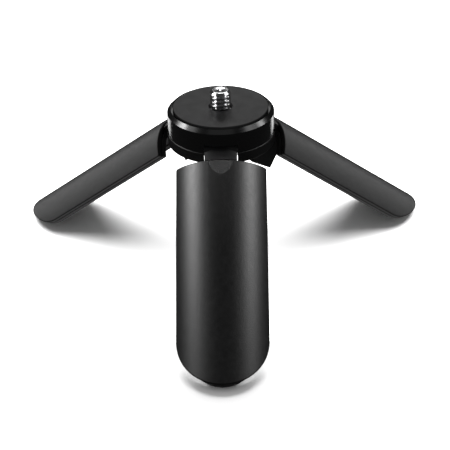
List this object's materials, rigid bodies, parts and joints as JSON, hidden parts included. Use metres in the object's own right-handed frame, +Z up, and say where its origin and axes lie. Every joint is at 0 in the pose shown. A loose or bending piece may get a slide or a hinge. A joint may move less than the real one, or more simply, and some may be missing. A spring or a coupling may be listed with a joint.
{
  "type": "folding tabletop tripod",
  "caption": "Small folding tabletop tripod base: round head with a threaded camera stud and rubber pad, and curved legs that fold down on pins into one round grip.",
  "frame": {"origin": "on the camera stud's axis, at the centre of the top pad's upper face", "axes": "+Z up along the camera stud, -Y towards the front leg, with the other legs at 30 and 150 degrees from +X"},
  "size_m": [0.1252, 0.1118, 0.0589],
  "materials": {
    "head_anodised": "polished black anodised",
    "cap_anodised": "satin black anodised",
    "pad_rubber": "matte",
    "stud_steel": "bright nickel plate",
    "screw_steel": "black oxide",
    "pin_steel": "ground",
    "washer_plastic": "natural nylon",
    "cover_plastic": "fine-grained satin",
    "frame_plastic": "moulded satin",
    "foot_rubber": "matte"
  },
  "bodies": {
    "head": {"head_body": "head_anodised", "top_pad": "pad_rubber", "camera_stud": "stud_steel", "hinge_cap": "cap_anodised", "cap_screws": "screw_steel", "front_hinge_pin": "pin_steel", "front_friction_washers": "washer_plastic", "right_hinge_pin": "pin_steel", "right_friction_washers": "washer_plastic", "left_hinge_pin": "pin_steel", "left_friction_washers": "washer_plastic"},
    "front_leg": {"front_leg_cover": "cover_plastic", "front_leg_frame": "frame_plastic", "front_cover_screws": "screw_steel", "front_foot_pad": "foot_rubber"},
    "right_leg": {"right_leg_cover": "cover_plastic", "right_leg_frame": "frame_plastic", "right_cover_screws": "screw_steel", "right_foot_pad": "foot_rubber"},
    "left_leg": {"left_leg_cover": "cover_plastic", "left_leg_frame": "frame_plastic", "left_cover_screws": "screw_steel", "left_foot_pad": "foot_rubber"}
  },
  "joints": [
    {"name": "front_leg_fold", "type": "hinge", "parent": "head", "child": "front_leg", "pos_m": [0, -0.01345, -0.0075], "axis": [1, 0, 0], "range_deg": [0, 50.85]},
    {"name": "right_leg_fold", "type": "hinge", "parent": "head", "child": "right_leg", "pos_m": [0.01165, 0.00673, -0.0075], "axis": [-0.5, 0.866, 0], "range_deg": [0, 50.85]},
    {"name": "left_leg_fold", "type": "hinge", "parent": "head", "child": "left_leg", "pos_m": [-0.01165, 0.00673, -0.0075], "axis": [-0.5, -0.866, 0], "range_deg": [0, 50.85]}
  ]
}
